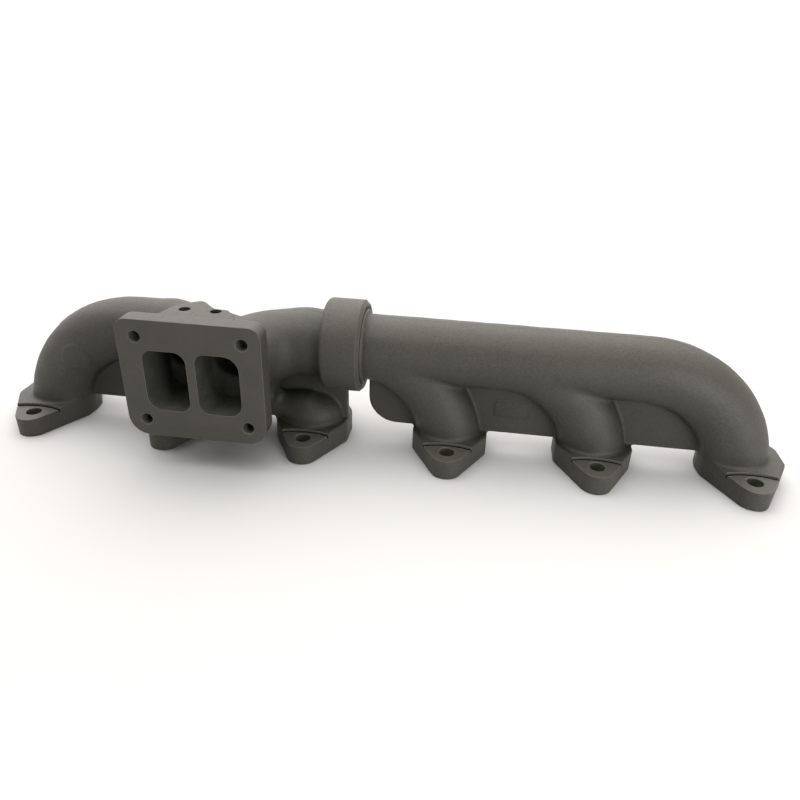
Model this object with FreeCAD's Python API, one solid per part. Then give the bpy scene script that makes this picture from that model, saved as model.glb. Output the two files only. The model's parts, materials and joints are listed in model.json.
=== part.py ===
import FreeCAD, Part
import math
import os

# Exhaust manifold for an inline-six diesel engine, in two iron castings.
#
# Frame, in millimetres: +X runs along the engine, from port 1 to port 6; +Z points away from
# the cylinder head, whose gasket face is Z = 0; the turbocharger flange faces -Y. The origin
# is the middle of the whole head bolt pattern.
#
# The front casting holds ports 1, 2 and 3, the divided turbocharger flange and the collar of
# the slip joint. The rear casting holds ports 4, 5 and 6 and ends in the spigot of that joint.
# Three split rings seal the spigot in the collar. Inside, ports 1 to 3 feed one half of the
# turbocharger opening, and ports 4 to 6 feed the other half through the slip joint.

# ---------------------------------------------------------------- driving dimensions

# Ports and their flanges on the head
PORT_PITCH = 120.0
PORT_COUNT = 6
FRONT_PORTS = (1, 2, 3)
REAR_PORTS = (4, 5, 6)
HEAD_BOLT_Y = 40.0            # bolt holes stand this far each side of the port row
HEAD_BOLT_HOLE_R = 6.25
FLANGE_THICKNESS = 18.0
FLANGE_HALF_WIDTH = 31.5
FLANGE_SIDE_HALF = 12.0       # half the length of the straight side
FLANGE_TIP_Y = 43.0           # centre of the round tip, a little outside the bolt
FLANGE_TIP_R = 13.0
FLANGE_CORNER_R = 12.0
SPOT_FACE_Z = 16.0            # milled step that the bolt head bears on
SPOT_FACE_R = 60.0            # sweep of the cutter that mills it
SPOT_FACE_EDGE_Y = 30.0       # where the step ends, towards the runner

# Main tube, runners and the web in their middle plane
TUBE_Z = 86.0
TUBE_R = 27.0
TUBE_BORE_R = 21.5
RUNNER_R = 26.0
RUNNER_BORE_R = 20.0
END_BEND_R = 84.0             # bends of the two end ports
END_BEND_X = 210.5            # distance of their centres from the origin
WEB_THICKNESS = 7.0
WEB_BOTTOM_Z = 17.5
WEB_CORNER_R = 24.0
WEB_END_X = 272.0             # the webs run into the end bends as far as this
FRONT_WEB_RIGHT_X = -29.5
FRONT_WEB_DIP_X = (-172.0, -80.0)  # the web is lower here, where the tubes turn forward
FRONT_WEB_DIP_Z = 62.0
REAR_WEB_LEFT_X = -11.0

# Turbocharger flange: four tapped holes round a divided opening
TURBO_X = -134.4
TURBO_Z = 76.2
TURBO_FACE_Y = -75.4
TURBO_THICKNESS = 16.0
TURBO_WIDTH = 112.0
TURBO_HEIGHT = 97.8
TURBO_LOW_CORNER_R = 16.0
TURBO_HIGH_CORNER_R = 9.0
TURBO_HOLE_SPACING_X = 82.55  # 3.25 in
TURBO_HOLE_SPACING_Z = 69.85  # 2.75 in
TURBO_HOLE_R = 4.35
OPENING_WIDTH = 34.0
OPENING_HEIGHT = 50.0
OPENING_Z = TURBO_Z - 0.5
OPENING_CORNER_R = 9.0
DIVIDER = 7.2

# Passages behind the turbocharger flange
CHAMBER_WALL = {-1: 6.5, 1: 9.0}        # round the left and the right half of the opening
CHAMBER_BACK_Y = {-1: -30.0, 1: -42.0}  # where those chambers start
FRONT_BEND_R = 30.0           # turns the gas of ports 1 to 3 towards the left opening
CROSSOVER_BEND_R = 50.0       # turns the rear ports' gas towards the right opening
CROSSOVER_BORE_R = 18.0
ELBOW_BORE_TOP_Z = 35.5       # domed top of port 3's runner
ELBOW_BORE_ROUND = 14.0
LOW_PASSAGE_BORE_Y = (-13.0, 23.0)  # port 3's gas passes close to the head, to port 2's runner
LOW_PASSAGE_BORE_Z = (22.0, 36.0)
LOW_PASSAGE_CORNER_R = 6.5
LOW_PASSAGE_WALL = 5.0
SADDLE_X = (-136.0, -87.0)    # thick rib that ties the right chamber to the low passage
SADDLE_Y = (-30.0, -8.0)
SADDLE_Z = (38.0, 60.0)
SADDLE_CORNER_R = 6.0

# Pad with two tapped probe holes, behind the top edge of the turbocharger flange
PAD_TOP_Z = TURBO_Z + TURBO_HEIGHT / 2
PAD_BOTTOM_Z = 98.0
PROBE_OFFSET_X = 12.4         # each side of the flange's middle
PROBE_Y = -47.0
PROBE_HOLE_R = 4.35

# Slip joint: the collar and its bore, the spigot, and the rings in their grooves
COLLAR_LEFT_X = -47.0
COLLAR_RIGHT_X = -14.5
COLLAR_R = 38.0
COLLAR_LEFT_ROUND = 4.5
COLLAR_RIGHT_CHAMFER = 2.5
COLLAR_BORE_R = 31.0
COLLAR_BORE_END_X = -41.0
COLLAR_MOUTH_CHAMFER = 2.5
COLLAR_PASSAGE_R = 20.0
SPIGOT_R = 30.7
SPIGOT_END_X = -37.0
SPIGOT_SHOULDER_X = -13.0
SPIGOT_CHAMFER = 1.0
RING_COUNT = 3
FIRST_RING_X = -33.5
RING_PITCH = 6.5
RING_WIDTH = 3.0
RING_SIDE_PLAY = 0.05
RING_OUTER_R = 30.93
RING_INNER_R = 28.2
GROOVE_BOTTOM_R = 27.8
RING_GAP = 1.5

OVERLAP = 1.0                 # how far a cut or a joined shape runs past a face

# ---------------------------------------------------------------- shape helpers

X_AXIS = FreeCAD.Vector(1, 0, 0)
Y_AXIS = FreeCAD.Vector(0, 1, 0)
Z_AXIS = FreeCAD.Vector(0, 0, 1)


def vec(x, y, z):
    return FreeCAD.Vector(x, y, z)


def port_x(number):
    """X of port 1 to 6."""
    return (number - (PORT_COUNT + 1) / 2) * PORT_PITCH


def tube_along_x(radius, x_low, x_high):
    return Part.makeCylinder(radius, x_high - x_low, vec(x_low, 0, TUBE_Z), X_AXIS)


def upright_tube(radius, x, z_low, z_high):
    return Part.makeCylinder(radius, z_high - z_low, vec(x, 0, z_low))


def rounded_block(x_range, y_range, z_range, axis, low_radius, high_radius):
    """A block whose two lower and two upper edges along an axis are rounded."""
    size = [high - low for low, high in (x_range, y_range, z_range)]
    block = Part.makeBox(*size, vec(x_range[0], y_range[0], z_range[0]))
    middle_z = sum(z_range) / 2
    for side, radius in ((-1, low_radius), (1, high_radius)):
        edges = [
            edge for edge in block.Edges
            if abs(edge.tangentAt(0).dot(axis)) > 0.99
            and side * (edge.CenterOfMass.z - middle_z) > 0
        ]
        block = block.makeFillet(radius, edges)
    return block


def domed_post(radius, x, top_z, round_r):
    """An upright round post from the gasket face, with a rounded top."""
    post = upright_tube(radius, x, 0, top_z)
    rims = [edge for edge in post.Edges if edge.Closed]
    return post.makeFillet(round_r, [edge for edge in rims if edge.CenterOfMass.z > top_z / 2])


def bend_upright(radius, x, z, bend_r, towards):
    """A quarter bend that leaves (x, 0, z) along +Z and ends along X; towards is 1 or -1."""
    circle = Part.Face(Part.Wire(Part.makeCircle(radius, vec(x, 0, z), Z_AXIS)))
    return circle.revolve(vec(x + towards * bend_r, 0, z), Y_AXIS, towards * 90)


def bend_level(radius, x, bend_r, towards):
    """A quarter bend that leaves (x, 0, TUBE_Z) along X, +X or -X by towards, and ends along -Y."""
    circle = Part.Face(Part.Wire(Part.makeCircle(radius, vec(x, 0, TUBE_Z), X_AXIS)))
    return circle.revolve(vec(x, -bend_r, TUBE_Z), Z_AXIS, -towards * 90)


def join(shapes):
    return shapes[0].multiFuse(shapes[1:]).removeSplitter()


# ---------------------------------------------------------------- port flanges and web

def flange_outline():
    """The lozenge round one port: straight sides, and a round tip at each bolt."""
    reach = FLANGE_TIP_Y - FLANGE_SIDE_HALF
    slope = math.atan2(-reach, FLANGE_HALF_WIDTH)
    swing = math.acos(FLANGE_TIP_R / math.hypot(FLANGE_HALF_WIDTH, reach))
    tip_x = FLANGE_TIP_R * math.cos(slope + swing)
    tip_y = FLANGE_TIP_Y + FLANGE_TIP_R * math.sin(slope + swing)
    tip_end = FLANGE_TIP_Y + FLANGE_TIP_R
    edges = []
    for s in (1, -1):
        side_low = vec(s * FLANGE_HALF_WIDTH, -FLANGE_SIDE_HALF, 0)
        side_high = vec(s * FLANGE_HALF_WIDTH, FLANGE_SIDE_HALF, 0)
        edges.append(Part.LineSegment(side_low, side_high).toShape())
        edges.append(Part.LineSegment(side_high, vec(s * tip_x, tip_y, 0)).toShape())
        edges.append(Part.LineSegment(side_low, vec(s * tip_x, -tip_y, 0)).toShape())
        right, left = vec(tip_x, s * tip_y, 0), vec(-tip_x, s * tip_y, 0)
        edges.append(Part.Arc(right, vec(0, s * tip_end, 0), left).toShape())
    return Part.Face(Part.Wire(Part.__sortEdges__(edges)))


def port_flange(number):
    """One head flange with its bolt holes and milled steps, still without its port."""
    plate = flange_outline().extrude(vec(0, 0, FLANGE_THICKNESS))
    corners = [
        edge for edge in plate.Edges
        if abs(edge.tangentAt(0).z) > 0.99
        and abs(abs(edge.CenterOfMass.x) - FLANGE_HALF_WIDTH) < 0.01
    ]
    plate = plate.makeFillet(FLANGE_CORNER_R, corners)
    cuts = []
    for s in (1, -1):
        hole_foot = vec(0, s * HEAD_BOLT_Y, -OVERLAP)
        cuts.append(Part.makeCylinder(HEAD_BOLT_HOLE_R, FLANGE_THICKNESS + 2 * OVERLAP, hole_foot))
        step_foot = vec(0, s * (SPOT_FACE_EDGE_Y + SPOT_FACE_R), SPOT_FACE_Z)
        cuts.append(Part.makeCylinder(SPOT_FACE_R, FLANGE_THICKNESS, step_foot))
    plate = plate.cut(cuts)
    plate.translate(vec(port_x(number), 0, 0))
    return plate


def web(x_low, x_high, top_z=TUBE_Z, rounded_left=False):
    """The flat web that hangs from the main tube in its middle plane."""
    y_low = -WEB_THICKNESS / 2
    size = (x_high - x_low, WEB_THICKNESS, top_z - WEB_BOTTOM_Z)
    plate = Part.makeBox(*size, vec(x_low, y_low, WEB_BOTTOM_Z))
    if rounded_left:
        corner = [
            edge for edge in plate.Edges
            if abs(edge.tangentAt(0).y) > 0.99
            and abs(edge.CenterOfMass.x - x_low) < 0.01
            and abs(edge.CenterOfMass.z - WEB_BOTTOM_Z) < 0.01
        ]
        plate = plate.makeFillet(WEB_CORNER_R, corner)
    return plate


def front_web():
    """The front casting's web, whose top edge dips between the two forward bends."""
    dip_left, dip_right = FRONT_WEB_DIP_X
    return [
        web(-WEB_END_X, dip_left),
        web(dip_left - OVERLAP, dip_right + OVERLAP, FRONT_WEB_DIP_Z),
        web(dip_right, FRONT_WEB_RIGHT_X),
    ]


def end_bend(radius, side):
    """The runner of an end port: side is -1 for port 1 and 1 for port 6."""
    x = side * (END_BEND_X + END_BEND_R)
    rise = TUBE_Z - END_BEND_R
    return [upright_tube(radius, x, 0, rise), bend_upright(radius, x, rise, END_BEND_R, -side)]


# ---------------------------------------------------------------- turbocharger flange

def turbo_flange():
    half_width, half_height = TURBO_WIDTH / 2, TURBO_HEIGHT / 2
    return rounded_block(
        (TURBO_X - half_width, TURBO_X + half_width),
        (TURBO_FACE_Y, TURBO_FACE_Y + TURBO_THICKNESS),
        (TURBO_Z - half_height, TURBO_Z + half_height),
        Y_AXIS, TURBO_LOW_CORNER_R, TURBO_HIGH_CORNER_R,
    )


def turbo_holes():
    """Four tapped holes through the flange."""
    length = TURBO_THICKNESS + 2 * OVERLAP
    holes = []
    for s in (1, -1):
        for t in (1, -1):
            x = TURBO_X + s * TURBO_HOLE_SPACING_X / 2
            z = TURBO_Z + t * TURBO_HOLE_SPACING_Z / 2
            start = vec(x, TURBO_FACE_Y - OVERLAP, z)
            holes.append(Part.makeCylinder(TURBO_HOLE_R, length, start, Y_AXIS))
    return holes


def opening_range(side):
    """X range of one half of the divided opening: side is -1 for left and 1 for right."""
    inner = TURBO_X + side * DIVIDER / 2
    outer = inner + side * OPENING_WIDTH
    return (min(inner, outer), max(inner, outer))


def opening_middle(side):
    return sum(opening_range(side)) / 2


def chamber(side, front_y, wall=0.0):
    """The passage behind one half of the opening, or the iron round it when wall is given."""
    x_low, x_high = opening_range(side)
    half = OPENING_HEIGHT / 2 + wall
    corner_r = OPENING_CORNER_R + wall / 2
    return rounded_block(
        (x_low - wall, x_high + wall),
        (front_y, CHAMBER_BACK_Y[side] + wall),
        (OPENING_Z - half, OPENING_Z + half),
        Y_AXIS, corner_r, corner_r,
    )


def low_passage(wall=0.0):
    """The flat passage from port 3 to port 2's runner, or the iron round it when wall is given."""
    front, back = LOW_PASSAGE_BORE_Y
    bottom, top = LOW_PASSAGE_BORE_Z
    corner_r = LOW_PASSAGE_CORNER_R + wall
    return rounded_block(
        (port_x(2), port_x(3)),
        (front - wall, back + wall),
        (bottom - wall, top + wall),
        X_AXIS, corner_r, corner_r,
    )


def probe_pad():
    """A flat pad level with the flange's top side, narrowing away from it."""
    join_y = TURBO_FACE_Y + TURBO_THICKNESS - OVERLAP
    outline = [
        (TURBO_X - 28.0, join_y),
        (TURBO_X - 24.5, -45.0),
        (TURBO_X - 21.0, -38.0),
        (TURBO_X - 14.0, -32.0),
        (TURBO_X - 7.0, -27.0),
        (TURBO_X - 2.7, -28.5),
        (TURBO_X + 2.0, -33.5),
        (TURBO_X + 7.0, -39.0),
        (TURBO_X + 10.5, -41.5),
        (TURBO_X + 21.0, -42.0),
        (TURBO_X + 29.0, -46.3),
        (TURBO_X + 36.0, -50.1),
        (TURBO_X + 44.0, join_y),
    ]
    points = [vec(x, y, PAD_BOTTOM_Z) for x, y in outline]
    face = Part.Face(Part.makePolygon(points + points[:1]))
    return face.extrude(vec(0, 0, PAD_TOP_Z - PAD_BOTTOM_Z))


def probe_holes():
    """Two tapped holes for temperature probes, one into each half of the passage."""
    depth = PAD_TOP_Z - TURBO_Z + OVERLAP
    feet = [vec(TURBO_X + s * PROBE_OFFSET_X, PROBE_Y, TURBO_Z) for s in (1, -1)]
    return [Part.makeCylinder(PROBE_HOLE_R, depth, foot) for foot in feet]


# ---------------------------------------------------------------- front casting

def collar():
    """The outside of the female half of the slip joint."""
    drum = tube_along_x(COLLAR_R, COLLAR_LEFT_X, COLLAR_RIGHT_X)
    rims = [edge for edge in drum.Edges if edge.Closed]
    left_rim = [edge for edge in rims if abs(edge.CenterOfMass.x - COLLAR_LEFT_X) < 0.01]
    drum = drum.makeFillet(COLLAR_LEFT_ROUND, left_rim)
    rims = [edge for edge in drum.Edges if edge.Closed]
    right_rim = [edge for edge in rims if abs(edge.CenterOfMass.x - COLLAR_RIGHT_X) < 0.01]
    return drum.makeChamfer(COLLAR_RIGHT_CHAMFER, right_rim)


def collar_bore():
    """The machined bore and its chamfered mouth."""
    bore = tube_along_x(COLLAR_BORE_R, COLLAR_BORE_END_X, COLLAR_RIGHT_X + OVERLAP)
    mouth_start = vec(COLLAR_RIGHT_X - COLLAR_MOUTH_CHAMFER, 0, TUBE_Z)
    mouth_r = COLLAR_BORE_R + COLLAR_MOUTH_CHAMFER
    mouth = Part.makeCone(COLLAR_BORE_R, mouth_r, COLLAR_MOUTH_CHAMFER, mouth_start, X_AXIS)
    return [bore, mouth]


def front_gas_path(bore):
    """The bent tubes behind the turbocharger flange: their bores, or the iron round them."""
    front_r = RUNNER_BORE_R if bore else RUNNER_R
    crossover_r = CROSSOVER_BORE_R if bore else TUBE_R
    wall = 0.0 if bore else LOW_PASSAGE_WALL
    front_bend_x = opening_middle(-1) - FRONT_BEND_R
    crossover_bend_x = opening_middle(1) + CROSSOVER_BEND_R
    shapes = end_bend(front_r, -1)
    shapes += [
        tube_along_x(front_r, -END_BEND_X, front_bend_x),
        bend_level(front_r, front_bend_x, FRONT_BEND_R, 1),
        upright_tube(front_r, port_x(2), 0, TUBE_Z),
        domed_post(front_r, port_x(3), ELBOW_BORE_TOP_Z + wall, ELBOW_BORE_ROUND + wall),
        low_passage(wall),
        bend_level(crossover_r, crossover_bend_x, CROSSOVER_BEND_R, -1),
    ]
    if bore:
        shapes.append(tube_along_x(COLLAR_PASSAGE_R, crossover_bend_x, COLLAR_BORE_END_X))
    else:
        shapes.append(tube_along_x(TUBE_R, crossover_bend_x, COLLAR_LEFT_X + OVERLAP))
    return shapes


def front_casting():
    back_of_flange_y = TURBO_FACE_Y + TURBO_THICKNESS - OVERLAP
    solids = [port_flange(number) for number in FRONT_PORTS]
    solids += front_gas_path(bore=False)
    solids += [chamber(side, back_of_flange_y, CHAMBER_WALL[side]) for side in (-1, 1)]
    saddle = rounded_block(SADDLE_X, SADDLE_Y, SADDLE_Z, Y_AXIS, SADDLE_CORNER_R, SADDLE_CORNER_R)
    solids += front_web()
    solids += [saddle, turbo_flange(), probe_pad(), collar()]
    cuts = front_gas_path(bore=True)
    cuts += [chamber(side, TURBO_FACE_Y - OVERLAP) for side in (-1, 1)]
    cuts += turbo_holes()
    cuts += probe_holes()
    cuts += collar_bore()
    return join(solids).cut(cuts)


# ---------------------------------------------------------------- rear casting

def ring_x(index):
    """Middle of one ring, counted from 0 at the spigot's end."""
    return FIRST_RING_X + index * RING_PITCH


def spigot():
    """The machined male half of the slip joint, with its ring grooves."""
    shape = tube_along_x(SPIGOT_R, SPIGOT_END_X, SPIGOT_SHOULDER_X)
    rims = [edge for edge in shape.Edges if edge.Closed]
    shape = shape.makeChamfer(SPIGOT_CHAMFER, rims)
    grooves = []
    for index in range(RING_COUNT):
        half = RING_WIDTH / 2 + RING_SIDE_PLAY
        low, high = ring_x(index) - half, ring_x(index) + half
        around = tube_along_x(SPIGOT_R + OVERLAP, low, high)
        grooves.append(around.cut(tube_along_x(GROOVE_BOTTOM_R, low, high)))
    return shape.cut(grooves)


def rear_casting():
    solids = [port_flange(number) for number in REAR_PORTS]
    solids += end_bend(RUNNER_R, 1)
    solids += [bend_upright(RUNNER_R, port_x(number), 0, TUBE_Z, -1) for number in (4, 5)]
    solids += [
        tube_along_x(TUBE_R, SPIGOT_SHOULDER_X - OVERLAP, END_BEND_X),
        web(REAR_WEB_LEFT_X, WEB_END_X, rounded_left=True),
        spigot(),
    ]
    cuts = end_bend(RUNNER_BORE_R, 1)
    cuts += [bend_upright(RUNNER_BORE_R, port_x(number), 0, TUBE_Z, -1) for number in (4, 5)]
    cuts.append(tube_along_x(TUBE_BORE_R, SPIGOT_END_X - OVERLAP, END_BEND_X))
    return join(solids).cut(cuts)


# ---------------------------------------------------------------- seal rings

def seal_ring(index):
    """A split ring, whose gap is turned a third of a turn from its neighbour's."""
    low = ring_x(index) - RING_WIDTH / 2
    high = ring_x(index) + RING_WIDTH / 2
    ring = tube_along_x(RING_OUTER_R, low, high).cut(tube_along_x(RING_INNER_R, low, high))
    gap = Part.makeBox(
        RING_WIDTH + 2 * OVERLAP, RING_GAP, RING_OUTER_R + OVERLAP,
        vec(low - OVERLAP, -RING_GAP / 2, TUBE_Z),
    )
    gap.rotate(vec(0, 0, TUBE_Z), X_AXIS, index * 360 / RING_COUNT)
    return ring.cut(gap)


# ---------------------------------------------------------------- build

def main():
    os.makedirs("parts", exist_ok=True)
    nodes = {"front_casting": front_casting(), "rear_casting": rear_casting()}
    for index in range(RING_COUNT):
        nodes[f"seal_ring_{index + 1}"] = seal_ring(index)
    for name, shape in nodes.items():
        box = shape.BoundBox
        print(name, shape.isValid(), len(shape.Solids), "solids", round(shape.Volume), "mm3")
        print("   ", [round(v, 2) for v in (box.XMin, box.XMax, box.YMin, box.YMax, box.ZMin, box.ZMax)])
        shape.exportStep(f"parts/{name}.step")


main()
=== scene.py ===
import json
import math

import bmesh
import bpy
import numpy as np
import openvdb
from mathutils import Matrix, Vector


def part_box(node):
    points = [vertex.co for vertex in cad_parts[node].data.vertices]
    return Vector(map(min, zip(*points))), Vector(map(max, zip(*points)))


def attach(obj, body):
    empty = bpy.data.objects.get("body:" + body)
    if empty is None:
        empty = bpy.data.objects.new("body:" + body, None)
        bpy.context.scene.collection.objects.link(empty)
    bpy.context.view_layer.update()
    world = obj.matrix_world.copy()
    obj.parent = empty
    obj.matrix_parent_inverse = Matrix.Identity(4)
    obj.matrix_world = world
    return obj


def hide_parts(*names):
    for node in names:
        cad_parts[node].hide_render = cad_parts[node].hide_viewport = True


# An exhaust manifold of two iron castings that slide in a ring-sealed joint. Each casting is
# poured as a distance field, whose fillets run smoothly from wall to wall, and is then machined
# with crisp cuts: gasket faces, bolt holes, milled steps, the turbocharger flange and the joint.
# Sizes are millimetres in the frame's own axes; meshes are made in metres.

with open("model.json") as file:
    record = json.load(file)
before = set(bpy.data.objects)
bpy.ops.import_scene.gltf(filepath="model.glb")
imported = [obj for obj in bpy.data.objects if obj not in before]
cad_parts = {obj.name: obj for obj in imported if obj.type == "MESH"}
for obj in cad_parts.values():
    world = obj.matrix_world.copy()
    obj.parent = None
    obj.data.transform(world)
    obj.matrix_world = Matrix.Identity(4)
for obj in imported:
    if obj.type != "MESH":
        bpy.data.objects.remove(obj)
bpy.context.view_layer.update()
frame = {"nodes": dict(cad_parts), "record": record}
record = frame["record"]
MM = 0.001


def mount(name):
    return next(m for m in record["mounts"] if m["name"] == name)


def mount_place(name):
    return [round(v / MM, 3) for v in mount(name)["pos_m"]]


def node_range(node, axis):
    """Lowest and highest coordinate of a CAD node along axis 0, 1 or 2, in millimetres."""
    low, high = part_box(node)
    return low[axis] / MM, high[axis] / MM


# ---------------------------------------------------------------- sizes

PITCH = mount("head_bolts_inner")["dims"]["spacing_x_mm"]
PORT_X = {number: (number - 3.5) * PITCH for number in range(1, 7)}
FRONT_PORTS = (1, 2, 3)
REAR_PORTS = (4, 5, 6)

BOLT_Y = mount("head_bolts_inner")["dims"]["spacing_y_mm"] / 2
BOLT_HOLE_R = mount("head_bolts_inner")["dims"]["hole_r_mm"]
FLANGE_TOP = 18.0
FLANGE_HALF_WIDTH = 31.5
FLANGE_SIDE_HALF = 12.0
FLANGE_TIP_Y = 43.0
FLANGE_TIP_R = 13.0
FLANGE_CORNER_R = 12.0
STEP_Z = 16.0                 # milled step under each bolt head, swept by a round cutter
STEP_R = 60.0
STEP_EDGE_Y = 30.0
STEP_GROOVE = 1.5             # width of the groove that the cutter leaves at the step's wall
STEP_GROOVE_DEPTH = 2.2

TUBE_Z = 86.0
TUBE_R = 27.0
TUBE_BORE_R = 21.5
RUNNER_R = 26.0
RUNNER_BORE_R = 20.0
FOOT_R = 27.2                 # runners swell a little where they stand on their flanges
END_BEND_R = 84.0
END_BEND_X = 210.5
WEB_HALF = 3.5
WEB_BOTTOM = 17.5
WEB_CORNER_R = 24.0
WEB_END = 272.0
FRONT_WEB_RIGHT = -29.5
FRONT_WEB_DIP = ((-80.0, TUBE_Z), (-86.0, 62.0), (-166.0, 62.0), (-172.0, TUBE_Z))
REAR_WEB_LEFT = -11.0

TURBO_X, TURBO_FACE_Y, TURBO_Z = mount_place("turbo_studs")
TURBO_BACK_Y = TURBO_FACE_Y + 16.0
TURBO_HALF_WIDTH = 56.0
TURBO_TOP = node_range("front_casting", 2)[1]
TURBO_HALF_HEIGHT = TURBO_TOP - TURBO_Z
TURBO_CORNERS = (16.0, 16.0, 9.0, 9.0)
TURBO_HOLE_R = mount("turbo_studs")["dims"]["hole_r_mm"]
TURBO_HOLES = [
    (
        TURBO_X + s * mount("turbo_studs")["dims"]["spacing_x_mm"] / 2,
        TURBO_Z + t * mount("turbo_studs")["dims"]["spacing_y_mm"] / 2,
    )
    for s in (-1, 1) for t in (-1, 1)
]
OPENING_WIDTH = 34.0
OPENING_HALF_HEIGHT = 25.0
OPENING_Z = TURBO_Z - 0.5
OPENING_CORNERS = {-1: (11.0, 8.0, 9.5, 8.0), 1: (8.5, 10.0, 12.0, 7.5)}
DIVIDER = 7.2
CHAMBER_WALL = 6.5
CHAMBER_BACK_Y = {-1: -30.0, 1: -42.0}
FRONT_BEND_R = 30.0           # ports 1 and 2 turn towards the left opening
CROSSOVER_BEND_R = 50.0       # the rear ports' gas turns towards the right opening
CROSSOVER_END_R = 33.0        # its bend swells and sinks on the way
CROSSOVER_SINK = 7.5
CROSSOVER_BORE = (20.0, 19.0, 17.5)
ELBOW_TOP = 40.5              # port 3's runner has a low dome
LOW_Y = (-13.0, 23.0)         # port 3's gas passes close to the head, to port 2's runner
LOW_Z = (22.0, 36.0)
LOW_WALL = 5.0
SADDLE_X = (-136.0, -87.0)    # thick rib from the right chamber to the low passage
SADDLE_Y = (-30.0, -8.0)
SADDLE_Z = (38.0, 60.0)
ELBOW_ROUND, ELBOW_BORE_ROUND = 20.0, 14.0
BADGE_PLACE = (-260.0, -25.5, 64.0)  # plain round pad on port 1's bend
BADGE_FACES = (-0.1, -0.98, 0.18)
BADGE_R, BADGE_HEIGHT = 12.0, 0.9
PLATE_X = (96.0, 125.0)       # blank raised rectangle on the rear web
PLATE_Z = (33.5, 47.0)
PLATE_HEIGHT = 0.8
LOW_CORNER_R = 6.5

COLLAR_LEFT, COLLAR_RIGHT = -47.0, node_range("front_casting", 0)[1]
COLLAR_R = 38.0
COLLAR_BORE_R = 31.0
COLLAR_BORE_END = -41.0
COLLAR_CHAMFER = 2.5
SPIGOT_LEFT = node_range("rear_casting", 0)[0]
SPIGOT_R = 30.7
SPIGOT_CHAMFER = 1.0
SHOULDER_X = -13.0
GROOVE_BOTTOM_R = 27.8
RING_PLAY = 0.05
RING_NODES = sorted(name for name in frame["nodes"] if name.startswith("seal_ring"))

VOXEL = 1.0
FAR = 30.0
BELOW = -8.0                  # castings run past the gasket plane, and are cut off there
MACHINING = 4.0               # extra iron that the cuts take off
CASTING_FACES = 150_000       # faces kept on each casting before it is machined
THREAD_PITCH, THREAD_DEPTH = 1.5, 0.65
# Slots 2 and 3 hold dark tones: the skin inside the passages, which is also painted into drilled holes as
# shade, and a near-black painted shade for the step grooves.
CAST, MACHINED, GAS_SKIN_AND_HOLE_SHADE, GROOVE_PAINTED_SHADE = 0, 1, 2, 3  # material slots on each casting


# ---------------------------------------------------------------- distance fields

class Shape:
    """A solid as a distance function, with the box that holds it."""

    def __init__(self, low, high, distance):
        self.low = np.array(low, float)
        self.high = np.array(high, float)
        self.distance = distance

    def __or__(self, other):
        low = np.minimum(self.low, other.low)
        high = np.maximum(self.high, other.high)
        return Shape(low, high, lambda x, y, z: np.minimum(self.distance(x, y, z), other.distance(x, y, z)))


class Field:
    """Distances on a grid, negative inside the solid."""

    def __init__(self, low, high):
        self.axes = [np.arange(a, b + VOXEL, VOXEL, dtype=np.float32) for a, b in zip(low, high)]
        self.values = np.full([len(a) for a in self.axes], FAR, np.float32)

    def window(self, shape, margin):
        places, coordinates = [], []
        for k, axis in enumerate(self.axes):
            first = np.searchsorted(axis, shape.low[k] - margin)
            last = np.searchsorted(axis, shape.high[k] + margin)
            places.append(slice(first, last))
            size = [1, 1, 1]
            size[k] = last - first
            coordinates.append(axis[first:last].reshape(size))
        return tuple(places), coordinates

    def add(self, shape, blend=0.0):
        """Joins a solid, with a fillet about as large as blend."""
        place, (x, y, z) = self.window(shape, blend + 4 * VOXEL)
        self.values[place] = smooth_min(self.values[place], shape.distance(x, y, z), blend)

    def hollow(self, other):
        """Takes another field's solid away."""
        np.maximum(self.values, -other.values, out=self.values)

    def at(self, places):
        """Distances at the grid points nearest to some places."""
        near = [
            np.clip(np.rint((places[:, k] - axis[0]) / VOXEL).astype(int), 0, len(axis) - 1)
            for k, axis in enumerate(self.axes)
        ]
        return self.values[tuple(near)]

    def mesh_data(self):
        band = 3 * VOXEL
        grid = openvdb.FloatGrid(band)
        grid.copyFromArray(np.clip(self.values, -band, band))
        points, triangles, quads = grid.convertToPolygons(isovalue=0.0, adaptivity=0.0)
        origin = np.array([axis[0] for axis in self.axes])
        return (points * VOXEL + origin) * MM, triangles, quads


def smooth_min(a, b, blend):
    if blend <= 0:
        return np.minimum(a, b)
    h = np.clip(0.5 + 0.5 * (a - b) / blend, 0, 1)
    return a + (b - a) * h - blend * h * (1 - h)


def rod(start, end, r_start, r_end=None):
    """A straight round bar with round ends, whose radius may change along it."""
    r_end = r_start if r_end is None else r_end
    a, b = np.array(start, float), np.array(end, float)
    d = b - a
    widest = max(r_start, r_end)

    def distance(x, y, z):
        t = ((x - a[0]) * d[0] + (y - a[1]) * d[1] + (z - a[2]) * d[2]) / (d @ d)
        t = np.clip(t, 0, 1)
        away = (x - a[0] - t * d[0]) ** 2 + (y - a[1] - t * d[1]) ** 2 + (z - a[2] - t * d[2]) ** 2
        return np.sqrt(away) - (r_start + (r_end - r_start) * t)

    return Shape(np.minimum(a, b) - widest, np.maximum(a, b) + widest, distance)


def quarter_turn(along, across, bend_r):
    """How far a point is from a quarter bend's centre line, in the bend's plane, and how far on, 0 to 1."""
    turn = np.clip(np.arctan2(along, across), 0, math.pi / 2)
    away = np.hypot(along - bend_r * np.sin(turn), across - bend_r * np.cos(turn))
    return away, turn / (math.pi / 2)


def bend_up(x, z, bend_r, side, r_start, r_end=None):
    """A quarter bend in the XZ plane from (x, 0, z) upwards, then towards side along X."""
    r_end = r_start if r_end is None else r_end
    widest = max(r_start, r_end)

    def distance(px, py, pz):
        away, on = quarter_turn(pz - z, bend_r - side * (px - x), bend_r)
        return np.sqrt(away ** 2 + py ** 2) - (r_start + (r_end - r_start) * on)

    ends = sorted((x - side * widest, x + side * (bend_r + widest)))
    return Shape((ends[0], -widest, z - widest), (ends[1], widest, z + bend_r + widest), distance)


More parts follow.
